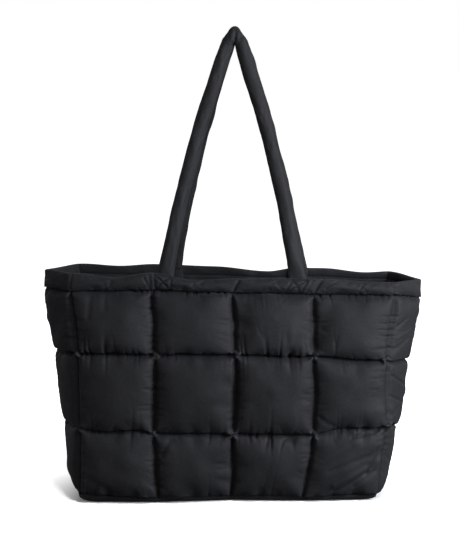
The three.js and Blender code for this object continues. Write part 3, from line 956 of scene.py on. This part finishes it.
def fabric(name, dark, light, roughness, weave=1.0, crinkle=1.0):
    """Tightly woven nylon: a fine weave, small creases, paler sharp ridges, painted shade in the hollows and
    a little colour variation.
    """
    material = bpy.data.materials.new(name)
    material.use_nodes = True
    tree = material.node_tree
    link = tree.links.new
    shader = tree.nodes["Principled BSDF"]
    shader.inputs["Specular IOR Level"].default_value = 0.2
    shader.inputs["Sheen Weight"].default_value = 0.05
    shader.inputs["Sheen Roughness"].default_value = 0.45
    shader.inputs["Sheen Tint"].default_value = (0.75, 0.8, 0.95, 1)
    place = node(tree, "ShaderNodeTexCoord").outputs["Object"]

    def noise(scale, detail=3.0, rough=0.5):
        made = node(tree, "ShaderNodeTexNoise", Scale=scale, Detail=detail, Roughness=rough)
        link(place, made.inputs["Vector"])
        return made.outputs["Fac"]

    def math_node(operation, a, b):
        made = node(tree, "ShaderNodeMath", operation=operation)
        for socket, value in zip(made.inputs, (a, b)):
            if isinstance(value, (int, float)):
                socket.default_value = value
            else:
                link(value, socket)
        return made.outputs[0]

    # Colour: broad patches, a fine fleck of the weave, paler ridges, and painted shade that darkens the
    # hollows
    patches = noise(9.0, 4.0)
    fleck = noise(700.0, 1.0)
    ridge = node(tree, "ShaderNodeMapRange")
    ridge.inputs["From Min"].default_value = 0.5
    ridge.inputs["From Max"].default_value = 0.62
    bend = node(tree, "ShaderNodeNewGeometry").outputs["Pointiness"]
    link(bend, ridge.inputs["Value"])
    mixed = math_node("ADD", math_node("MULTIPLY", patches, 0.6), math_node("MULTIPLY", fleck, 0.35))
    mixed = math_node("ADD", mixed, math_node("MULTIPLY", ridge.outputs[0], 0.5))
    ramp = node(tree, "ShaderNodeValToRGB")
    ramp.color_ramp.elements[0].position = 0.3
    ramp.color_ramp.elements[0].color = (*dark, 1)
    ramp.color_ramp.elements[1].position = 0.85
    ramp.color_ramp.elements[1].color = (*light, 1)
    link(mixed, ramp.inputs["Fac"])
    # Painted shade: the base colour darkens where the surface curves inward, in the seam valleys and creases
    valley = node(tree, "ShaderNodeMapRange")
    for key, value in (("From Min", 0.4), ("From Max", 0.485), ("To Min", 0.12)):
        valley.inputs[key].default_value = value
    link(bend, valley.inputs["Value"])
    shade = node(tree, "ShaderNodeMix", data_type="RGBA", blend_type="MULTIPLY")
    shade.inputs["Factor"].default_value = 1.0
    link(ramp.outputs["Color"], shade.inputs[6])
    link(valley.outputs[0], shade.inputs[7])
    link(shade.outputs[2], shader.inputs["Base Color"])
    rough = math_node("ADD", roughness - 0.08, math_node("MULTIPLY", noise(60.0, 3.0), 0.16))
    link(rough, shader.inputs["Roughness"])

    # Relief: creases of a few millimetres over a fine plain weave
    def wave(direction):
        made = node(tree, "ShaderNodeTexWave", Scale=420.0, Distortion=1.5)
        made.inputs["Detail Scale"].default_value = 60.0
        made.bands_direction = direction
        link(place, made.inputs["Vector"])
        return made.outputs["Fac"]

    creases = math_node("ADD", noise(110.0, 4.0, 0.6), math_node("MULTIPLY", noise(420.0, 2.0), 0.35))
    threads = math_node("ADD", wave("X"), wave("Z"))
    broad = node(tree, "ShaderNodeBump", Strength=0.42 * crinkle, Distance=0.001)
    link(creases, broad.inputs["Height"])
    fine = node(tree, "ShaderNodeBump", Strength=0.35 * weave, Distance=0.00012)
    link(threads, fine.inputs["Height"])
    link(broad.outputs["Normal"], fine.inputs["Normal"])
    link(fine.outputs["Normal"], shader.inputs["Normal"])
    return material


SHELL_DARK = (0.009, 0.009, 0.0102)
SHELL_LIGHT = (0.024, 0.0245, 0.028)
HANDLE_DARK = (0.0084, 0.0085, 0.0097)
HANDLE_LIGHT = (0.023, 0.0234, 0.0265)
THREAD_DARK = (0.006, 0.006, 0.007)
THREAD_LIGHT = (0.02, 0.02, 0.022)
NYLON_ROUGHNESS = 0.66

shell_fabric = fabric("shell_nylon", SHELL_DARK, SHELL_LIGHT, NYLON_ROUGHNESS)
hem_fabric = fabric("hem_nylon", SHELL_DARK, SHELL_LIGHT, NYLON_ROUGHNESS)
handle_fabric = fabric("handle_nylon", HANDLE_DARK, HANDLE_LIGHT, NYLON_ROUGHNESS, crinkle=0.7)
thread = fabric("thread", THREAD_DARK, THREAD_LIGHT, 0.7, weave=0.3, crinkle=0.2)

front_lines = panel("front", shell_fabric, 11) + hem("front", hem_fabric, 21)
back_lines = panel("back", shell_fabric, 12) + hem("back", hem_fabric, 22)
base_lines = base(shell_fabric, 31)
handle("front", handle_fabric, 41)
handle("back", handle_fabric, 42)
stitched("front_thread", front_lines, thread)
stitched("back_thread", back_lines, thread)
stitched("base_thread", base_lines, thread)


# Floor, light and camera

def look_from(azimuth, elevation, distance, target, roll):
    """Where a camera stands that looks at target, and how it is turned."""
    a, e, r = (math.radians(v) for v in (azimuth, elevation, roll))
    back = Vector((math.sin(a) * math.cos(e), -math.cos(a) * math.cos(e), math.sin(e)))
    right = Vector((0, 0, 1)).cross(back).normalized()
    up = back.cross(right)
    tilted_right = right * math.cos(r) + up * math.sin(r)
    tilted_up = up * math.cos(r) - right * math.sin(r)
    turn = Matrix((tilted_right, tilted_up, back)).transposed()
    return Vector(target) + back * distance, turn


CAMERA_AZIMUTH = 1.0  # in degrees, as are the next two
CAMERA_ELEVATION = 7.5
CAMERA_ROLL = -0.45
CAMERA_DISTANCE = 2.0
CAMERA_TARGET = (-0.0035, 0, 0.2685)
SENSOR_SIZE = 36
PICTURE_HEIGHT = 552  # in pixels
FOCAL_PIXELS = 1600  # the focal length, in pixels of that picture

camera = bpy.data.objects.new("camera", bpy.data.cameras.new("camera"))
bpy.context.scene.collection.objects.link(camera)
place, turn = look_from(CAMERA_AZIMUTH, CAMERA_ELEVATION, CAMERA_DISTANCE, CAMERA_TARGET, CAMERA_ROLL)
camera.location = place
camera.rotation_euler = turn.to_euler()
camera.data.sensor_width = SENSOR_SIZE
camera.data.lens = SENSOR_SIZE * FOCAL_PIXELS / PICTURE_HEIGHT
bpy.context.scene.camera = camera

FLOOR_REACH = 60
GLOW_CENTER = (0, -0.09, 0)

# The sheet glows further out, so that it is white but for the shadow close to the bag: strength by distance
GLOW = {"From Min": 0.19, "From Max": 0.275, "To Min": 0.08, "To Max": 0.9}
floor_corners = [(FLOOR_REACH * x, FLOOR_REACH * y, 0) for x, y in ((-1, -1), (1, -1), (1, 1), (-1, 1))]
floor = new_mesh("floor", floor_corners, [(0, 1, 2, 3)])
paper = bpy.data.materials.new("paper")
paper.use_nodes = True
paper_shader = paper.node_tree.nodes["Principled BSDF"]
paper_shader.inputs["Base Color"].default_value = (0.9, 0.9, 0.9, 1)
paper_shader.inputs["Roughness"].default_value = 0.9
paper_shader.inputs["Specular IOR Level"].default_value = 0.0
paper_shader.inputs["Emission Color"].default_value = (1, 1, 1, 1)

away = node(paper.node_tree, "ShaderNodeVectorMath", operation="DISTANCE")
away.inputs[1].default_value = GLOW_CENTER
paper.node_tree.links.new(node(paper.node_tree, "ShaderNodeTexCoord").outputs["Object"], away.inputs[0])
glow = node(paper.node_tree, "ShaderNodeMapRange")
for key, value in GLOW.items():
    glow.inputs[key].default_value = value
paper.node_tree.links.new(away.outputs["Value"], glow.inputs["Value"])
paper.node_tree.links.new(glow.outputs[0], paper_shader.inputs["Emission Strength"])
floor.data.materials.append(paper)
floor.visible_diffuse = False
floor.visible_glossy = False


def area_light(name, place, target, size, power, color):
    lamp = bpy.data.lights.new(name, "AREA")
    lamp.color = color
    lamp.size = size
    lamp.energy = power
    obj = bpy.data.objects.new(name, lamp)
    obj.location = place
    obj.rotation_euler = (Vector(target) - Vector(place)).to_track_quat("-Z", "Y").to_euler()
    bpy.context.scene.collection.objects.link(obj)
    return obj


area_light("key", (0.88, -0.6, 0.6), (0, 0, 0.2), 0.5, 17, (0.92, 0.96, 1))
area_light("front", (0.7, -2.3, 1.1), (0, 0, 0.25), 1.6, 8, (0.96, 0.98, 1))
beside = area_light("beside", (-0.5, -1.7, 0.75), (0, 0, 0.45), 0.6, 4, (0.96, 0.98, 1))
handles_only = bpy.data.collections.new("handles_only")
for side in FACES:
    handles_only.objects.link(bpy.data.objects[f"{side}_handle_tube"])
beside.light_linking.receiver_collection = handles_only
above = area_light("above", (0.28, -0.6, 1.4), (0, 0, 0), 0.6, 40, (1, 0.98, 0.98))
sheet_only = bpy.data.collections.new("sheet_only")
sheet_only.objects.link(floor)
above.light_linking.receiver_collection = sheet_only

# The studio is white round the horizon and dim above it
world = bpy.data.worlds.new("world")
world.use_nodes = True
sky = world.node_tree
direction = node(sky, "ShaderNodeTexCoord").outputs["Generated"]
split = node(sky, "ShaderNodeSeparateXYZ")
sky.links.new(direction, split.inputs[0])
sky_ramp = node(sky, "ShaderNodeValToRGB")
for k, (height, level) in enumerate(((-0.03, 0.05), (-0.01, 1.0), (0.06, 1.0), (0.14, 0.2))):
    stop = sky_ramp.color_ramp.elements[k] if k < 2 else sky_ramp.color_ramp.elements.new(1.0)
    stop.position = (height + 1) / 2
    stop.color = (level, level, level, 1)
to_share = node(sky, "ShaderNodeMapRange")
to_share.inputs["From Min"].default_value = -1
sky.links.new(split.outputs["Z"], to_share.inputs["Value"])
sky.links.new(to_share.outputs[0], sky_ramp.inputs["Fac"])
sky.links.new(sky_ramp.outputs["Color"], sky.nodes["Background"].inputs["Color"])
bpy.context.scene.world = world
bpy.context.scene.view_settings.view_transform = "Standard"
